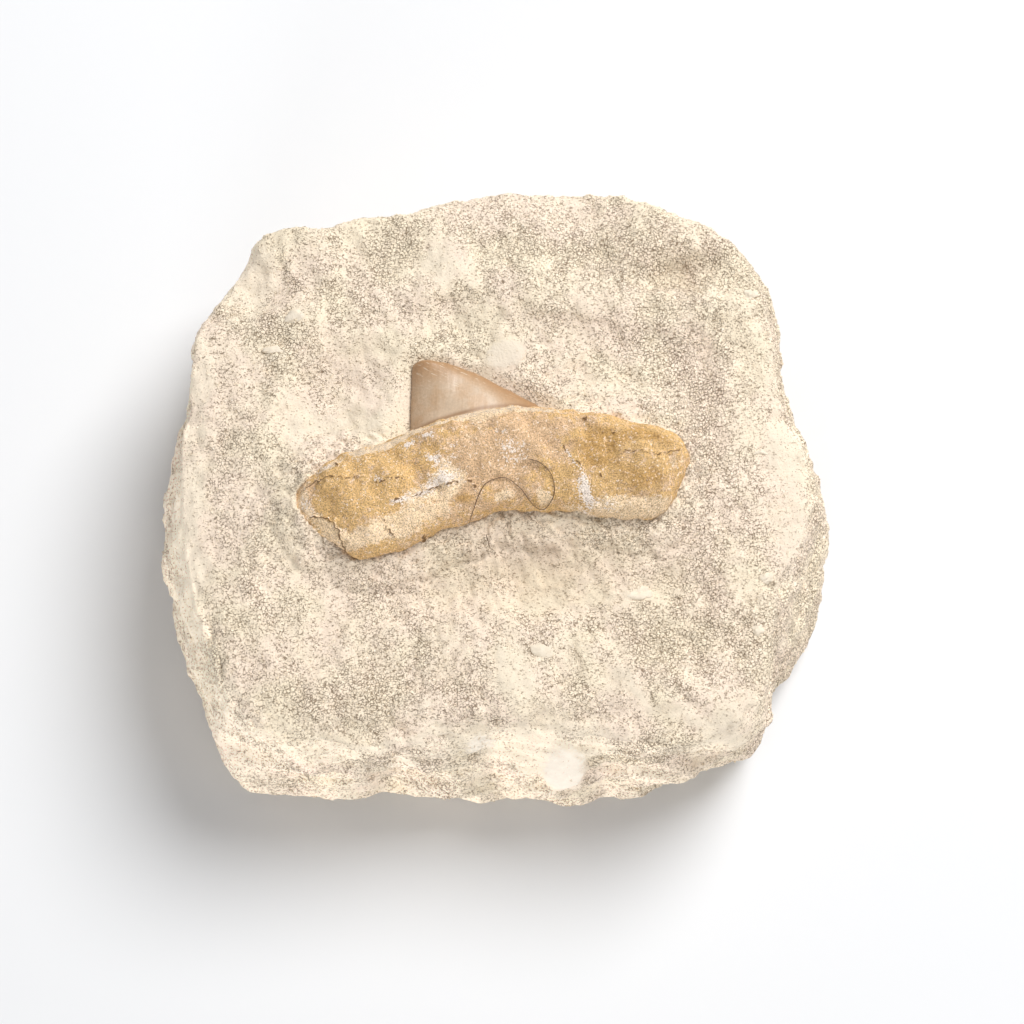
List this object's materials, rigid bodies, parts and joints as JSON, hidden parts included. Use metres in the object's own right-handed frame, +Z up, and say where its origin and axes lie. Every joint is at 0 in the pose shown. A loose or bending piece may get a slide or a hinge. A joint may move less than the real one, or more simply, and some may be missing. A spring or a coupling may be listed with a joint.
{
  "type": "fossil shark tooth in matrix",
  "caption": "Fossil shark tooth, its ochre two-lobed root above and its glossy brown crown half buried, lying on a loose rounded block of sandy pale rock.",
  "frame": {"origin": "on the block's flat underside, below the middle of the object's bounding box", "axes": "+Z up out of the face that holds the tooth, +X along the root towards its rounder lobe, +Y from the root towards the crown"},
  "size_m": [0.1058, 0.096, 0.0403],
  "materials": {
    "sandy_rock": "rough, granular, matt",
    "fossil_tooth": "matt root, glossy enamel crown"
  },
  "bodies": {
    "root": {"matrix_block": "sandy_rock", "tooth": "fossil_tooth"}
  },
  "joints": []
}
